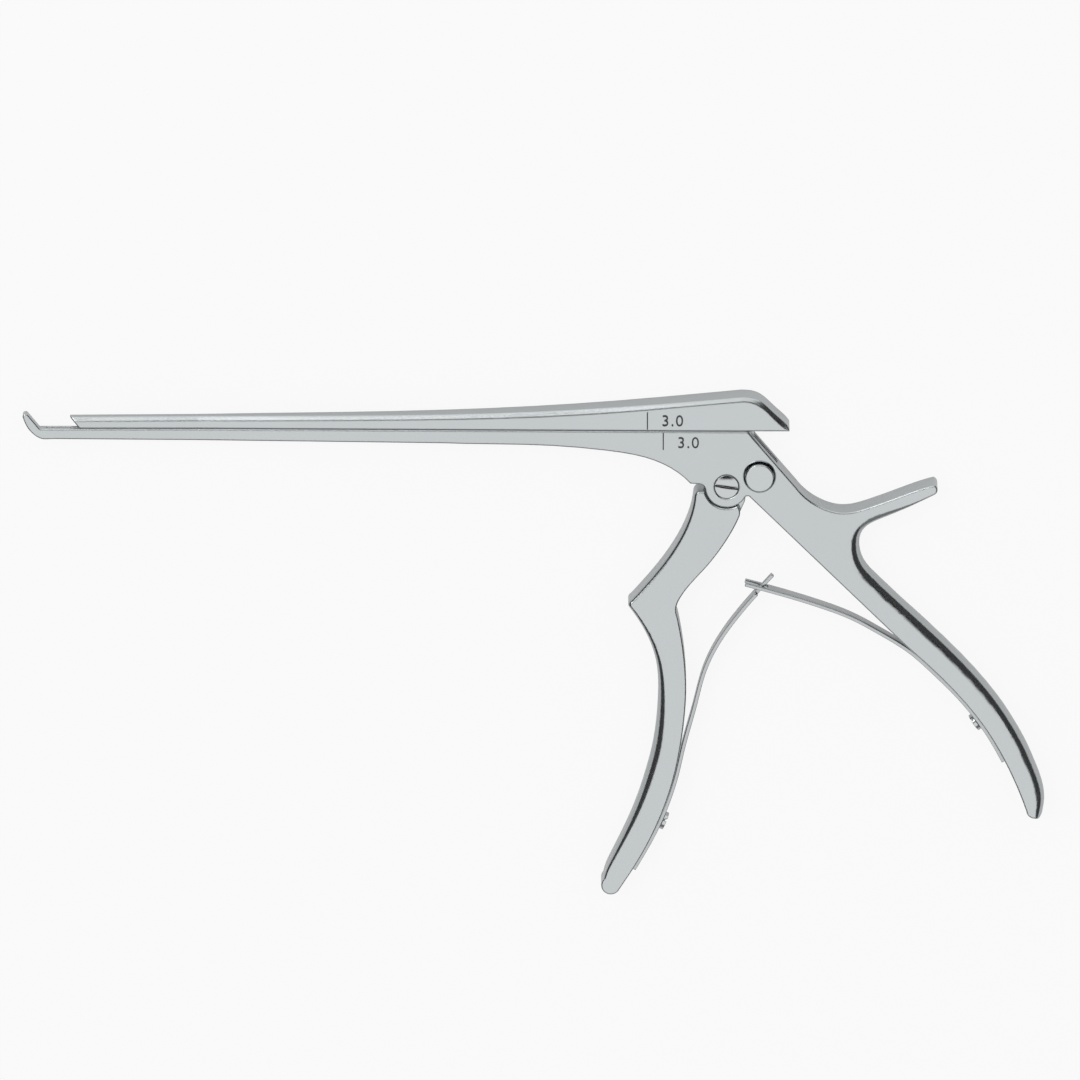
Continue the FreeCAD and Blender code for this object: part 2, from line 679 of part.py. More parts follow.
# Drive pin across the lever's nose
drive_pin = cylinder("drive_pin_rod", "sizes.drive_pin_radius", "sizes.drive_pin_length",
                     PIN_REST, -size("drive_pin_length") / 2)

# Release button: cap on a bolt whose collar stops the lever, with its spring and plug
collar_top = SLOT_HALF - size("running_gap")
cap_bottom = HALF - size("button_recess_depth") + size("button_travel") + 2 * size("running_gap")
cap_top = HALF + size("button_height")
neck_top = cap_top - size("button_roof")
button_cap = cylinder(
    "button_cap_disc", "sizes.button_radius",
    "sizes.button_height + sizes.button_recess_depth - sizes.button_travel"
    " - 2 * sizes.running_gap", BUTTON, cap_bottom)
doc.recompute()
cap_rim = [number for number, edge in enumerate(button_cap.Shape.Edges, start=1)
           if abs(edge.BoundBox.ZMin - cap_top) < 0.01 and edge.Length > 5]
cap_round = round_edges("button_cap_round", button_cap,
                        [(number, size("button_edge"), size("button_edge"))
                         for number in cap_rim])
cap_bore = cylinder("button_cap_bore", "sizes.bolt_neck",
                    "sizes.thickness - sizes.button_roof", BUTTON,
                    neck_top - size("thickness") + size("button_roof"))
cap = cut("button_cap_bored", cap_round, cap_bore)
bolt_collar = cylinder("bolt_collar", "sizes.bolt_radius", "sizes.bolt_collar", BUTTON,
                       collar_top - size("bolt_collar"))
bolt_neck = cylinder(
    "bolt_neck", "sizes.bolt_neck",
    "sizes.thickness / 2 + sizes.button_height - sizes.button_roof"
    " - sizes.lever_thickness / 2 - sizes.side_gap + sizes.running_gap", BUTTON, collar_top)
bolt = fuse("bolt_solid", bolt_collar, bolt_neck)
plug = cylinder("plug_disc", "sizes.plug_radius", "sizes.plug_depth", BUTTON, -HALF)
plug_slot = doc.addObject("Part::Box", "plug_slot")
plug_slot.setExpression("Length", "4 * sizes.plug_radius")
plug_slot.setExpression("Width", "sizes.screw_slot")
plug_slot.setExpression("Height", "sizes.plug_slot_depth")
plug_slot.Placement.Base = Vector(BUTTON[0] - 2 * size("plug_radius"),
                                  BUTTON[1] - size("screw_slot") / 2, -HALF)
plug_cut = cut("plug_slotted", plug, plug_slot)
coil_wire = size("button_wire")
coil_low = -HALF + size("plug_depth") + coil_wire + 0.02
coil_high = collar_top - size("bolt_collar") - coil_wire - 0.02
helix = doc.addObject("Part::Helix", "button_coil")
helix.Pitch = (coil_high - coil_low) / size("button_turns")
helix.Height = coil_high - coil_low
helix.Radius = size("button_coil")
doc.recompute()
wire_rim = []
for side in range(9):
    across, up = polar(coil_wire, 45 * side + 22.5, (size("button_coil"), 0.0))
    wire_rim.append(Vector(across, 0, up))
wire_section = Part.makePolygon(wire_rim)
coil = doc.addObject("Part::Feature", "button_spring_wire")
coil.Shape = Part.Wire(helix.Shape.Edges).makePipeShell([wire_section], True, True)
coil.Placement.Base = Vector(BUTTON[0], BUTTON[1], coil_low)

# Pieces of the punch by the names of their files
PIECES = {
    "fixed_shaft_and_rear_handle": frame_cut,
    "sliding_shaft": slider_cut,
    "front_handle": handle_cut,
    "pivot_screw": pivot_screw,
    "drive_pin": drive_pin,
    "button_cap": cap,
    "release_bolt": bolt,
    "button_spring": coil,
    "button_plug": plug_cut,
    "rear_leaf_spring": rear_leaf,
    "front_leaf_spring": front_leaf,
    "rear_spring_screw": rear_screw,
    "front_spring_screw": front_screw,
}
doc.recompute()
boxes = [piece.Shape.optimalBoundingBox(False, False) for piece in PIECES.values()]
low = Vector(*(min(getattr(box, side) for box in boxes) for side in ("XMin", "YMin", "ZMin")))
high = Vector(*(max(getattr(box, side) for box in boxes) for side in ("XMax", "YMax", "ZMax")))
origin = Vector(-(low.x + high.x) / 2, -(low.y + high.y) / 2, -low.z)
for label, piece in PIECES.items():
    piece.Label = label
    piece.Placement.Base = piece.Placement.Base + origin
doc.recompute()
for item in doc.Objects:
    if "Invalid" in item.State or "Error" in item.State:
        raise RuntimeError("%s failed" % item.Name)
os.makedirs("parts", exist_ok=True)
for label, piece in PIECES.items():
    if piece.Shape.isNull() or not piece.Shape.isValid():
        raise RuntimeError("%s has no sound shape" % label)
    box = piece.Shape.optimalBoundingBox(False, False)
    print("%-28s solids %d volume %8.2f  x %.2f %.2f  y %.2f %.2f  z %.2f %.2f" % (
        label, len(piece.Shape.Solids), piece.Shape.Volume, box.XMin, box.XMax, box.YMin,
        box.YMax, box.ZMin, box.ZMax))
    piece.Shape.exportStep("parts/%s.step" % label)
print("origin shift", [round(value, 4) for value in origin])
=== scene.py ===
"""Looks of a take-apart bone punch: steel finishes, bowed leaf springs, size marks and studio."""

import logging
import math
from dataclasses import dataclass
from enum import Enum

import bmesh
import bpy
import numpy as np
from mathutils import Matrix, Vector


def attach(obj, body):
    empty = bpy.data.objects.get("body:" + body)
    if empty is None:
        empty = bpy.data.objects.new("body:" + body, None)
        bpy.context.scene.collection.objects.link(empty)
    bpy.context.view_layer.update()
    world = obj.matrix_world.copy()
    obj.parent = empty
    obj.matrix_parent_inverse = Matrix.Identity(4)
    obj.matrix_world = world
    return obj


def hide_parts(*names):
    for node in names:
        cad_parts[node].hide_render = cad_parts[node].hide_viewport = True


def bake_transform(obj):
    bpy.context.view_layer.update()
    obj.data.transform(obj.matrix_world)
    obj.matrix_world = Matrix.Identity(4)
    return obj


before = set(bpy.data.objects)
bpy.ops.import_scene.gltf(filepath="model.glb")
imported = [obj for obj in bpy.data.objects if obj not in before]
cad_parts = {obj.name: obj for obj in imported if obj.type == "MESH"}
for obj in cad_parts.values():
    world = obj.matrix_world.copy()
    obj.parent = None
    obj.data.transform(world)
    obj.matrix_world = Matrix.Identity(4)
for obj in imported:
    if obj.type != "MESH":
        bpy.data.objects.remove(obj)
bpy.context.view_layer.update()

log = logging.getLogger("bone_punch")

MM = 0.001
# Where the pivot and the middle plane lie in the frame, and how thick the pieces are, in mm.
PIVOT = (50.8304, 44.2879)
MIDDLE_Z = 4.2
SIDE_FACE_Z = 8.4

WHITE = (1.0, 1.0, 1.0, 1.0)

Pair = tuple[float, float]
Triple = tuple[float, float, float]


def metres(x: float, y: float, z: float = 0.0) -> Vector:
    """Turn a place measured from the pivot into the frame's metres.

    Args:
        x: Millimetres behind the pivot.
        y: Millimetres above the pivot.
        z: Millimetres from the middle plane towards the button side.

    Returns:
        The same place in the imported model's frame.
    """
    return Vector(((x + PIVOT[0]) * MM, (y + PIVOT[1]) * MM, (z + MIDDLE_Z) * MM))


def placed(name: str, data: bpy.types.ID) -> bpy.types.Object:
    """Put a new object into the scene.

    Args:
        name: Name of the object.
        data: Its mesh, curve, camera or light.

    Returns:
        The object.
    """
    made = bpy.data.objects.new(name, data)
    bpy.context.scene.collection.objects.link(made)
    return made


class Level:
    """A number that varies over a surface, so that shader maths reads as plain sums."""

    def __init__(self, bench: "Bench", socket: bpy.types.NodeSocket) -> None:
        """Hold a socket of the bench's tree."""
        self.bench = bench
        self.socket = socket

    def _maths(self, operation: str, first: "Level | float", second: "Level | float") -> "Level":
        """Add one Math node.

        Args:
            operation: The Math node's operation.
            first: Its first value.
            second: Its second value.

        Returns:
            The node's result.
        """
        node = self.bench.node("ShaderNodeMath", {"operation": operation}, {0: first, 1: second})
        return Level(self.bench, node.outputs[0])

    def __add__(self, other: "Level | float") -> "Level":
        """Sum of two levels."""
        return self._maths("ADD", self, other)

    def __radd__(self, other: float) -> "Level":
        """Sum with a plain number first."""
        return self._maths("ADD", other, self)

    def __sub__(self, other: "Level | float") -> "Level":
        """Difference of two levels."""
        return self._maths("SUBTRACT", self, other)

    def __rsub__(self, other: float) -> "Level":
        """Difference with a plain number first."""
        return self._maths("SUBTRACT", other, self)

    def __mul__(self, other: "Level | float") -> "Level":
        """Product of two levels."""
        return self._maths("MULTIPLY", self, other)

    def __rmul__(self, other: float) -> "Level":
        """Product with a plain number first."""
        return self._maths("MULTIPLY", other, self)

    def __or__(self, other: "Level | float") -> "Level":
        """The larger of two levels, which joins two masks."""
        return self._maths("MAXIMUM", self, other)


class Bench:
    """The node tree of one material or world."""

    def __init__(self, tree: bpy.types.NodeTree) -> None:
        """Take a tree and clear it."""
        self.tree = tree
        self.tree.nodes.clear()

    def node(
        self, kind: str, settings: dict | None = None, inputs: dict | None = None
    ) -> bpy.types.Node:
        """Add one node.

        Args:
            kind: The node's type.
            settings: Its properties, set before its sockets.
            inputs: Values, levels or sockets by input name or number.

        Returns:
            The new node.
        """
        made = self.tree.nodes.new(kind)
        for name, value in (settings or {}).items():
            setattr(made, name, value)
        for key, value in (inputs or {}).items():
            if isinstance(value, Level):
                value = value.socket
            if isinstance(value, bpy.types.NodeSocket):
                self.tree.links.new(value, made.inputs[key])
            else:
                made.inputs[key].default_value = value
        return made

    def noise(self, place: bpy.types.NodeSocket, scale: float, detail: float = 2.0) -> Level:
        """Soft random level between 0 and 1.

        Args:
            place: Coordinates that the noise is read at.
            scale: Number of waves per metre.
            detail: Number of finer layers.

        Returns:
            The noise level.
        """
        inputs = {"Vector": place, "Scale": scale, "Detail": detail}
        return Level(self, self.node("ShaderNodeTexNoise", inputs=inputs).outputs["Fac"])

    def tinted(self, share: Level, first: Triple, second: Triple) -> bpy.types.NodeSocket:
        """Colour between two, by a share.

        Args:
            share: 0 for the first colour, 1 for the second.
            first: Linear colour.
            second: Linear colour.

        Returns:
            The mixed colour's socket.
        """
        inputs = {"Factor": share, 6: (*first, 1.0), 7: (*second, 1.0)}
        return self.node("ShaderNodeMix", {"data_type": "RGBA"}, inputs).outputs[2]

    def rays(self, *kinds: str) -> Level:
        """Mask of some kinds of rays.

        Args:
            *kinds: Names of the Light Path outputs that count.

        Returns:
            1 for a ray of one of the kinds, 0 for any other.
        """
        path = self.node("ShaderNodeLightPath").outputs
        mask = Level(self, path[kinds[0]])
        for kind in kinds[1:]:
            mask = mask | Level(self, path[kind])
        return mask

    def glow(self, shade: float) -> bpy.types.NodeSocket:
        """Plain grey light of a surface.

        Args:
            shade: Linear grey of the light.

        Returns:
            The shader's socket.
        """
        inputs = {"Color": (shade, shade, shade, 1.0), "Strength": 1.0}
        return self.node("ShaderNodeEmission", inputs=inputs).outputs[0]

    def surface(self, shader: bpy.types.NodeSocket) -> None:
        """Give the material its finished surface."""
        self.node("ShaderNodeOutputMaterial", inputs={"Surface": shader})


# What the camera, metal and glass see, as against what lights the scene.
SEEN_RAYS = ("Is Camera Ray", "Is Glossy Ray", "Is Transmission Ray")


def new_material(name: str) -> tuple[bpy.types.Material, Bench]:
    """Start a material.

    Args:
        name: Name of the material.

    Returns:
        The material and the bench that its nodes are added on.
    """
    made = bpy.data.materials.new(name)
    made.use_nodes = True
    return made, Bench(made.node_tree)


class Lay(Enum):
    """Direction of a finish's fine marks, as the stretch of its noise."""

    BLASTED = (1.0, 1.0, 1.0)
    ALONG_LENGTH = (0.02, 1.0, 1.0)


@dataclass(frozen=True)
class SteelFinish:
    """Bare stainless steel in one finish.

    Attributes:
        name: The material's name.
        colour: Linear colour of the metal.
        roughness: Middle roughness.
        edge: Reach in millimetres of the polish that eases its edges.
        lay: Direction of the fine marks.
        unevenness: How far the roughness wanders.
        cloud: How far the colour darkens in its soft clouds.
        clouds: Soft clouds per metre.
        grain: Fine marks per metre.
        grain_share: Share of the fine marks in the colour's change.
        bump: Strength of the fine marks' bump.
        bump_height: Height of the fine marks in metres.
        edge_samples: How finely the eased edges are worked out.
    """

    name: str
    colour: Triple
    roughness: float
    edge: float
    lay: Lay = Lay.BLASTED
    unevenness: float = 0.04
    cloud: float = 0.05
    clouds: float = 60.0
    grain: float = 9000.0
    grain_share: float = 0.3
    bump: float = 0.05
    bump_height: float = 0.0001
    edge_samples: int = 8

    def material(self) -> bpy.types.Material:
        """Build the finish.

        Returns:
            A procedural material.
        """
        made, bench = new_material(self.name)
        places = bench.node("ShaderNodeTexCoord").outputs
        place = places["UV" if self.lay is Lay.ALONG_LENGTH else "Object"]
        laid = bench.node("ShaderNodeMapping", inputs={"Vector": place, "Scale": self.lay.value})
        fine = bench.noise(laid.outputs[0], self.grain)
        soft = bench.noise(place, self.clouds, 3.0)
        darker = tuple(part * (1.0 - self.cloud) for part in self.colour)
        share = soft * (1.0 - self.grain_share) + fine * self.grain_share
        eased = bench.node(
            "ShaderNodeBevel", {"samples": self.edge_samples}, {"Radius": self.edge * MM}
        )
        grained = bench.node(
            "ShaderNodeBump",
            inputs={
                "Strength": self.bump,
                "Distance": self.bump_height,
                "Height": fine,
                "Normal": eased.outputs[0],
            },
        )
        shader = bench.node(
            "ShaderNodeBsdfPrincipled",
            inputs={
                "Base Color": bench.tinted(share, darker, self.colour),
                "Metallic": 1.0,
                "Roughness": self.roughness + (soft - 0.5) * self.unevenness,
                "Normal": grained.outputs[0],
            },
        )
        bench.surface(shader.outputs[0])
        return made


class Finish(Enum):
    """The finishes of the instrument's pieces."""

    FRAME = SteelFinish("satin_frame_steel", (0.57, 0.6, 0.61), 0.18, 0.7)
    SLIDER = SteelFinish("satin_slider_steel", (0.575, 0.605, 0.615), 0.17, 0.75)
    LEVER = SteelFinish("satin_lever_steel", (0.57, 0.6, 0.61), 0.18, 0.5)
    BUTTON = SteelFinish("satin_button_steel", (0.58, 0.61, 0.62), 0.13, 0.3)
    SCREW = SteelFinish("bright_screw_steel", (0.6, 0.62, 0.625), 0.1, 0.2)
    PIN = SteelFinish("ground_pin_steel", (0.58, 0.6, 0.61), 0.14, 0.2)
    WIRE = SteelFinish("drawn_wire_steel", (0.5, 0.51, 0.52), 0.2, 0.05)
    LEAF = SteelFinish("brushed_leaf_steel", (0.52, 0.54, 0.55), 0.16, 0.2, Lay.ALONG_LENGTH)


class FinishShelf:
    """Makes each finish once and hands it out."""

    def __init__(self) -> None:
        """Start with no material made."""
        self.made: dict[Finish, bpy.types.Material] = {}

    def take(self, finish: Finish) -> bpy.types.Material:
        """Material of a finish, made at its first use.

        Args:
            finish: The finish that is wanted.

        Returns:
            Its material.
        """
        if finish not in self.made:
            self.made[finish] = finish.value.material()
        return self.made[finish]


@dataclass(frozen=True)
class PackedPieces:
    """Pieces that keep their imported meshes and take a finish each.

    Attributes:
        finishes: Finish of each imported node.
    """

    finishes: tuple[tuple[str, Finish], ...] = ()

    def dress(self, shelf: FinishShelf) -> None:
        """Give every piece its finish.

        Args:
            shelf: Where the finishes come from.
        """
        for node, finish in self.finishes:
            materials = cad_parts[node].data.materials
            materials.clear()
            materials.append(shelf.take(finish))
            log.info("%s: %s", node, finish.value.name)


@dataclass(frozen=True)
class ShaftsAndHandles(PackedPieces):
    """The forged pieces, the drive pin and the screws."""

    finishes: tuple[tuple[str, Finish], ...] = (
        ("fixed_shaft_and_rear_handle", Finish.FRAME),
        ("sliding_shaft", Finish.SLIDER),
        ("front_handle", Finish.LEVER),
        ("pivot_screw", Finish.SCREW),
        ("drive_pin", Finish.PIN),
        ("rear_spring_screw", Finish.SCREW),
        ("front_spring_screw", Finish.SCREW),
    )


@dataclass(frozen=True)
class ReleaseButton(PackedPieces):
    """The button that lets the lever out, with its bolt, coil spring and plug."""

    finishes: tuple[tuple[str, Finish], ...] = (
        ("button_cap", Finish.BUTTON),
        ("release_bolt", Finish.PIN),
        ("button_spring", Finish.WIRE),
        ("button_plug", Finish.SCREW),
    )


class SmoothLine:
    """A natural cubic line through flat places."""

    def __init__(self, places: list[Pair]) -> None:
        """Fit the line.

        Args:
            places: Places in order, at least three.
        """
        self.places = np.array(places, float)
        steps = np.linalg.norm(np.diff(self.places, axis=0), axis=1)
        self.knots = np.concatenate(([0.0], np.cumsum(steps)))
        count = len(places)
        system = np.eye(count)
        pull = np.zeros((count, 2))
        for index in range(1, count - 1):
            before, after = steps[index - 1], steps[index]
            system[index, index - 1 : index + 2] = (before, 2 * (before + after), after)
            rise = (self.places[index + 1] - self.places[index]) / after
            fall = (self.places[index] - self.places[index - 1]) / before
            pull[index] = 6 * (rise - fall)
        self.bends = np.linalg.solve(system, pull)

    def at(self, knot: float) -> np.ndarray:
        """Place on the line.

        Args:
            knot: Length along the chords from the start.

        Returns:
            The place's two coordinates.
        """
        index = int(np.clip(np.searchsorted(self.knots, knot) - 1, 0, len(self.knots) - 2))
        span = self.knots[index + 1] - self.knots[index]
        after = (knot - self.knots[index]) / span
        before = 1.0 - after
        straight = before * self.places[index] + after * self.places[index + 1]
        curl = (before**3 - before) * self.bends[index] + (after**3 - after) * self.bends[index + 1]
        return straight + curl * span * span / 6.0

    def across(self, knot: float) -> np.ndarray:
        """Unit direction to the line's left at a knot."""
        step = self.knots[-1] * 1e-4
        along = self.at(min(knot + step, self.knots[-1])) - self.at(max(knot - step, 0.0))
        along = along / np.linalg.norm(along)
        return np.array((-along[1], along[0]))

    def knot_near(self, place: Pair) -> float:
        """Knot of the line's nearest place to a given one."""
        trials = np.linspace(0.0, self.knots[-1], 800)
        gaps = [np.linalg.norm(self.at(trial) - np.array(place)) for trial in trials]
        return float(trials[int(np.argmin(gaps))])


class SpringEnd(Enum):
    """How a leaf spring meets the other one: which thirds of its width reach the end."""

    FORK = (0, 2)
    TONGUE = (1,)


Grid = dict[tuple[int, int, int], bmesh.types.BMVert]


@dataclass(frozen=True)
class LeafSpring:
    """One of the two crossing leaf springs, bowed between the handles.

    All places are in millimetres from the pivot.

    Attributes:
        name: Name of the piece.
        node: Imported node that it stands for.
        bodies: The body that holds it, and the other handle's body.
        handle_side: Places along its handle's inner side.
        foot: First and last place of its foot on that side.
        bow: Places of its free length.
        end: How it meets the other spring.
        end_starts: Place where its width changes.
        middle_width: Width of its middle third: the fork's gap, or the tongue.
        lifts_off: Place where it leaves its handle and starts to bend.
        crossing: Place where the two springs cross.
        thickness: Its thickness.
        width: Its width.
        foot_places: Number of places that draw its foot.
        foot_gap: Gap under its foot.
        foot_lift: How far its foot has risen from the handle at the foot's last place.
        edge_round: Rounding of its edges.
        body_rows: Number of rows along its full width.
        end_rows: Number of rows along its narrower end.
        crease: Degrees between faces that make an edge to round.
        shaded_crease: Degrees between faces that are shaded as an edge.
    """

    name: str
    node: str
    bodies: tuple[str, str]
    handle_side: list[Pair]
    foot: tuple[Pair, Pair]
    bow: list[Pair]
    end: SpringEnd
    end_starts: Pair
    middle_width: float
    lifts_off: Pair
    crossing: Pair = (9.0, -28.75)
    thickness: float = 1.0
    width: float = 4.6
    foot_places: int = 6
    foot_gap: float = 0.02
    foot_lift: float = 0.3
    edge_round: float = 0.14
    body_rows: int = 120
    end_rows: int = 20
    crease: float = 40.0
    shaded_crease: float = 35.0

    def middle_line(self) -> SmoothLine:
        """Middle line of the leaf: beside the handle, then free."""
        side = SmoothLine(self.handle_side)
        first, last = (side.knot_near(place) for place in self.foot)
        beside = self.thickness / 2 + self.foot_gap
        places = []
        for share in np.linspace(0.0, 1.0, self.foot_places):
            knot = first + share * (last - first)
            place = side.at(knot) - side.across(knot) * (beside + self.foot_lift * share**3)
            places.append((float(place[0]), float(place[1])))
        return SmoothLine(places + self.bow)

    def lay_out(self, leaf: bmesh.types.BMesh) -> tuple[Grid, dict[bmesh.types.BMVert, Pair]]:
        """Add the points of both faces.

        Args:
            leaf: The mesh that they go into.

        Returns:
            The points by row, line across the width and face, and each one's length along
            the leaf and height in metres.
        """
        line = self.middle_line()
        split = line.knot_near(self.end_starts)
        body = np.linspace(0.0, split, self.body_rows)
        tip = np.linspace(split, line.knots[-1], self.end_rows)[1:]
        outer, inner = self.width / 2, self.middle_width / 2
        grid: Grid = {}
        laid: dict[bmesh.types.BMVert, Pair] = {}
        for row, knot in enumerate(np.concatenate((body, tip))):
            place, across = line.at(knot), line.across(knot)
            for column, height in enumerate((-outer, -inner, inner, outer)):
                for face in (0, 1):
                    side = place + across * self.thickness * (face - 0.5)
                    vert = leaf.verts.new(metres(side[0], side[1], height))
                    grid[row, column, face] = vert
                    laid[vert] = (knot * MM, height * MM)
        return grid, laid

    def skin(self, leaf: bmesh.types.BMesh, grid: Grid) -> None:
        """Close the leaf with faces, leaving out what its end doesn't have.

        Args:
            leaf: The mesh that holds the points.
            grid: The points by row, line across the width and face.
        """
        for row in range(self.body_rows + self.end_rows - 2):
            for third in (0, 1, 2) if row < self.body_rows - 1 else self.end.value:
                for face in (0, 1):
                    leaf.faces.new([
                        grid[row, third, face],
                        grid[row + 1, third, face],
                        grid[row + 1, third + 1, face],
                        grid[row, third + 1, face],
                    ])
        opposite = {grid[row, line, 0]: grid[row, line, 1] for row, line, face in grid if not face}
        for edge in [edge for edge in leaf.edges if len(edge.link_faces) == 1]:
            one, two = edge.verts
            if one in opposite:
                leaf.faces.new([one, two, opposite[two], opposite[one]])
        unused = [vert for vert in leaf.verts if not vert.link_faces]
        bmesh.ops.delete(leaf, geom=unused, context="VERTS")
        bmesh.ops.recalc_face_normals(leaf, faces=leaf.faces)

    def round_edges(self, leaf: bmesh.types.BMesh) -> None:
        """Round the leaf's long edges and its ends.

        Args:
            leaf: The closed leaf.
        """
        sharp = [
            edge
            for edge in leaf.edges
            if len(edge.link_faces) == 2 and edge.calc_face_angle(0.0) > math.radians(self.crease)
        ]
        bmesh.ops.bevel(
            leaf,
            geom=sharp,
            offset=self.edge_round * MM,
            segments=2,
            profile=0.5,
            affect="EDGES",
            clamp_overlap=True,
        )

    def mesh(self) -> bpy.types.Mesh:
        """Build the leaf.

        Returns:
            A closed mesh with its length and width as UV.
        """
        leaf = bmesh.new()
        grid, laid = self.lay_out(leaf)
        self.skin(leaf, grid)
        uv = leaf.loops.layers.uv.new("length_and_width")
        for face in leaf.faces:
            for loop in face.loops:
                loop[uv].uv = laid[loop.vert]
        self.round_edges(leaf)
        made = bpy.data.meshes.new(self.name)
        leaf.to_mesh(made)
        leaf.free()
        made.polygons.foreach_set("use_smooth", [True] * len(made.polygons))
        made.set_sharp_from_angle(angle=math.radians(self.shaded_crease))
        return made

    def build(self, shelf: FinishShelf) -> None:
        """Make the leaf and hide the imported node that it stands for.

        Args:
            shelf: Where its finish comes from.
        """
        leaf = placed(self.name, self.mesh())
        leaf.data.materials.append(shelf.take(Finish.LEAF))
        start = metres(*self.lifts_off)
        end = 2 * metres(*self.crossing) - start
        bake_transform(leaf)
        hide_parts(self.node)
        log.info("%s: bends between %s and %s", self.name, *self.bodies)


LEAF_SPRINGS = (
    LeafSpring(
        name="rear_leaf",
        node="rear_leaf_spring",
        bodies=("fixed_body", "lever"),
        handle_side=[(48.0, -44.4), (58.8, -54.8), (68.3, -66.3), (75.0, -78.0), (79.9, -90.0)],
        foot=((74.3, -76.5), (49.5, -45.8)),
        bow=[(40.7, -41.0), (33.3, -36.9), (25.8, -33.9), (12.9, -29.8), (5.0, -27.6)],
        end=SpringEnd.FORK,
        end_starts=(11.0, -29.25),
        middle_width=2.2,
        lifts_off=(44.0, -42.5),
    ),
    LeafSpring(
        name="front_leaf",
        node="front_leaf_spring",
        bodies=("lever", "fixed_body"),
        handle_side=[(-25.4, -107.3), (-18.9, -95.3), (-14.2, -82.3), (-11.3, -66.6),
                     (-10.6, -57.0), (-11.2, -46.0), (-12.9, -36.0)],
        foot=((-24.9, -106.4), (-12.2, -73.0)),
        bow=[(-8.2, -61.0), (-5.7, -51.5), (-1.0, -42.0), (4.7, -34.2), (12.3, -25.4)],
        end=SpringEnd.TONGUE,
        end_starts=(8.0, -30.2),
        middle_width=1.5,
        lifts_off=(-11.0, -69.0),
    ),
)


def etched_steel() -> bpy.types.Material:
    """Dark etched steel of the size marks.

    Returns:
        A procedural material.
    """
    made, bench = new_material("etched_mark")
    speckle = bench.noise(bench.node("ShaderNodeTexCoord").outputs["Object"], 4000.0)
    shader = bench.node(
        "ShaderNodeBsdfPrincipled",
        inputs={
            "Base Color": bench.tinted(speckle, (0.035, 0.036, 0.04), (0.09, 0.09, 0.095)),
            "Metallic": 0.3,
            "Roughness": 0.55,
        },
    )
    bench.surface(shader.outputs[0])
    return made


@dataclass(frozen=True)
class SizeMark:
    """A matching mark on one of the two shafts: a line and the bite size.

    All places are in millimetres from the pivot.

    Attributes:
        name: Name of the piece.
        body: Body that it moves with.
        line_at: Middle of the line.
        number_at: Lower left corner of the number.
        number: The bite in millimetres.
        number_height: Height of the digits.
        digit_share: Height of a digit as a share of the font's size.
        spacing: Distance between the digits as a share of the font's own.
        line_height: Height of the line.
        line_width: Width of the line.
        above: How far the etched face stands over the steel.
    """

    name: str
    body: str
    line_at: Pair
    number_at: Pair
    number: str = "3.0"
    number_height: float = 3.0
    digit_share: float = 0.7
    spacing: float = 1.15
    line_height: float = 4.6
    line_width: float = 0.3
    above: float = 0.012

    def digits(self) -> bpy.types.Mesh:
        """Flat mesh of the number, with its corner at the origin."""
        words = bpy.data.curves.new(self.name, "FONT")
        words.body = self.number
        words.size = self.number_height * MM / self.digit_share
        words.space_character = self.spacing
        holder = placed(self.name + "_words", words)
        bpy.context.view_layer.update()
        drawn = holder.evaluated_get(bpy.context.evaluated_depsgraph_get())
        shape = bpy.data.meshes.new_from_object(drawn)
        bpy.data.objects.remove(holder)
        return shape

    def build(self, etched: bpy.types.Material) -> None:
        """Make the mark.

        Args:
            etched: Material of the etched steel.
        """
        shape = self.digits()
        top = SIDE_FACE_Z - MIDDLE_Z + self.above
        made = bmesh.new()
        made.from_mesh(shape)
        bmesh.ops.translate(made, verts=made.verts, vec=metres(*self.number_at, top))
        reach = (self.line_width / 2, self.line_height / 2)
        line = [
            metres(self.line_at[0] + across * reach[0], self.line_at[1] + up * reach[1], top)
            for across, up in ((-1, -1), (1, -1), (1, 1), (-1, 1))
        ]
        made.faces.new([made.verts.new(place) for place in line])
        made.to_mesh(shape)
        made.free()
        shape.name = self.name
        shape.materials.clear()
        shape.materials.append(etched)
        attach(placed(self.name, shape), self.body)
        log.info("%s: %s on %s", self.name, self.number, self.body)


SIZE_MARKS = (
    SizeMark("slider_size_mark", "slider", (-21.0, 18.1), (-17.3, 16.7)),
    SizeMark("body_size_mark", "fixed_body", (-16.8, 12.5), (-13.1, 10.7)),
)


@dataclass(frozen=True)
class DarkFlag:
    """A flat dark card that hangs around the set and shows only in the steel.

    Attributes:
        name: Its name.
        corners: Its corners in order, in metres.
        shade: Linear grey that the steel sees.
    """

    name: str
    corners: tuple[Triple, ...]
    shade: float

    def build(self) -> None:
        """Hang the card."""
        shape = bpy.data.meshes.new(self.name)
        shape.from_pydata(self.corners, [], [(0, 1, 2, 3)])
        dark, bench = new_material(self.name)
        bench.surface(bench.glow(self.shade))
        shape.materials.append(dark)
        card = placed(self.name, shape)
        card.visible_camera = False
        card.visible_diffuse = False
        card.visible_transmission = False
        card.visible_shadow = False
        log.info("%s: shade %.3f", self.name, self.shade)


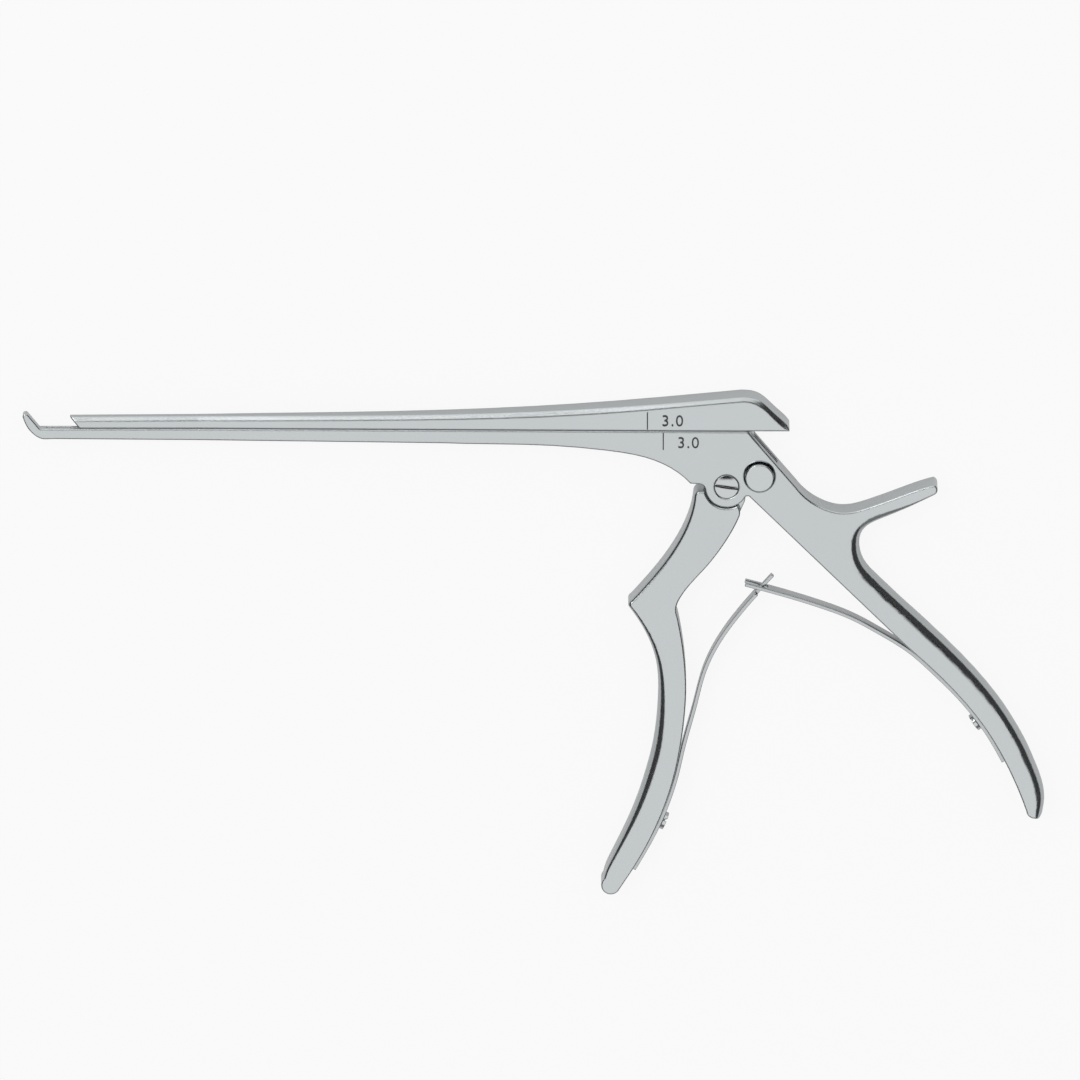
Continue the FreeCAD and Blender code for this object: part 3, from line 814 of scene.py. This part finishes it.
DARK_FLAGS = (
    DarkFlag(
        "flag_behind_camera",
        ((-1.25, 0.08, 2.0), (1.25, 0.08, 2.0), (1.25, 1.0, 2.0), (-1.25, 1.0, 2.0)),
        0.015,
    ),
    DarkFlag(
        "flag_left",
        ((-1.3, -2.2, 2.2), (-1.3, 1.4, 2.2), (-1.9, 2.4, 0.05), (-1.9, -2.2, 0.05)),
        0.06,
    ),
    DarkFlag(
        "flag_right",
        ((1.3, -2.2, 2.2), (1.3, 1.4, 2.2), (1.9, 2.4, 0.05), (1.9, -2.2, 0.05)),
        0.06,
    ),
    DarkFlag(
        "flag_front",
        ((-1.3, -2.0, 2.2), (1.3, -2.0, 2.2), (1.9, -2.4, 0.05), (-1.9, -2.4, 0.05)),
        0.25,
    ),
)


@dataclass(frozen=True)
class Studio:
    """Floor, surroundings, lamp and camera.

    Attributes:
        view_tilt: Degrees that the camera leans over the shaft's side.
        view_distance: Metres from the camera to the instrument.
        framed_width: Metres across the picture at the instrument.
        aim: The place in the picture's middle, in millimetres of the frame.
        sensor_width: Width of the camera's sensor in millimetres.
        clip_start: Nearest distance that the camera shows, in metres.
        surround_light: Strength at which the surroundings light the scene; they are seen at 1.
        floor_reach: Half the floor's side in metres.
        floor_drop: Metres from the instrument's underside down to the floor.
        floor_grey: Linear grey of the floor's matt part.
        floor_white_in_steel: Share of plain white in the floor that the steel sees.
        floor_white_in_camera: Share of plain white in the floor that the camera sees.
        lamp_at: Where the soft lamp hangs, in metres.
        lamp_side: Side of its square face in metres.
        lamp_power: Its power in watts.
        lamp_mirrored: How strongly the steel mirrors it.
    """

    view_tilt: float = 16.5
    view_distance: float = 6.0
    framed_width: float = 0.2862
    aim: Triple = (1.41, 29.64, 8.4)
    sensor_width: float = 36.0
    clip_start: float = 0.01
    surround_light: float = 0.75
    floor_reach: float = 4.0
    floor_drop: float = 0.0002
    floor_grey: float = 0.6
    floor_white_in_steel: float = 0.3
    floor_white_in_camera: float = 0.9
    lamp_at: Triple = (-0.7, 0.75, 1.5)
    lamp_side: float = 0.9
    lamp_power: float = 6.0
    lamp_mirrored: float = 0.25

    def camera(self) -> None:
        """Place the camera at the photograph's viewing angle."""
        lens = bpy.data.cameras.new("camera")
        lens.sensor_width = self.sensor_width
        lens.lens = self.sensor_width * self.view_distance / self.framed_width
        lens.clip_start = self.clip_start
        tilt = math.radians(self.view_tilt)
        away = Vector((0.0, math.sin(tilt), math.cos(tilt)))
        stand = placed("camera", lens)
        stand.location = Vector(self.aim) * MM + away * self.view_distance
        stand.rotation_euler = (-tilt, 0.0, 0.0)
        bpy.context.scene.camera = stand

    def surroundings(self) -> None:
        """Plain light from all around, white where it is seen."""
        world = bpy.data.worlds.new("white_surroundings")
        world.use_nodes = True
        bench = Bench(world.node_tree)
        seen = bench.rays(*SEEN_RAYS)
        strength = self.surround_light + seen * (1.0 - self.surround_light)
        light = bench.node("ShaderNodeBackground", inputs={"Color": WHITE, "Strength": strength})
        bench.node("ShaderNodeOutputWorld", inputs={"Surface": light.outputs[0]})
        bpy.context.scene.world = world

    def floor(self) -> None:
        """Lay the pale floor just under the instrument."""
        reach, down = self.floor_reach, -self.floor_drop
        corners = [(-reach, -reach, down), (reach, -reach, down),
                   (reach, reach, down), (-reach, reach, down)]
        shape = bpy.data.meshes.new("floor")
        shape.from_pydata(corners, [], [(0, 1, 2, 3)])
        pale, bench = new_material("pale_floor")
        grey = (self.floor_grey, self.floor_grey, self.floor_grey, 1.0)
        matt = bench.node("ShaderNodeBsdfDiffuse", inputs={"Color": grey})
        more_in_camera = self.floor_white_in_camera - self.floor_white_in_steel
        white_share = self.floor_white_in_steel + more_in_camera * bench.rays("Is Camera Ray")
        both = bench.node(
            "ShaderNodeMixShader",
            inputs={
                0: bench.rays(*SEEN_RAYS) * white_share,
                1: matt.outputs[0],
                2: bench.glow(1.0),
            },
        )
        bench.surface(both.outputs[0])
        shape.materials.append(pale)
        placed("floor", shape)

    def lamp(self) -> None:
        """Hang the soft lamp, which looks at the instrument."""
        light = bpy.data.lights.new("soft_lamp", "AREA")
        light.shape = "SQUARE"
        light.size = self.lamp_side
        light.energy = self.lamp_power
        light.specular_factor = self.lamp_mirrored
        stand = placed("soft_lamp", light)
        stand.location = self.lamp_at
        stand.rotation_euler = Vector(self.lamp_at).to_track_quat("Z", "Y").to_euler()

    def build(self) -> None:
        """Set up the whole studio."""
        bpy.context.scene.view_settings.view_transform = "Standard"
        self.camera()
        self.surroundings()
        self.floor()
        for flag in DARK_FLAGS:
            flag.build()
        self.lamp()
        log.info("studio: %d dark cards", len(DARK_FLAGS))


def main() -> None:
    """Dress the instrument and set up the studio."""
    logging.basicConfig(level=logging.INFO)
    shelf = FinishShelf()
    ShaftsAndHandles().dress(shelf)
    ReleaseButton().dress(shelf)
    for spring in LEAF_SPRINGS:
        spring.build(shelf)
    etched = etched_steel()
    for mark in SIZE_MARKS:
        mark.build(etched)
    Studio().build()


if __name__ == "__main__":
    main()
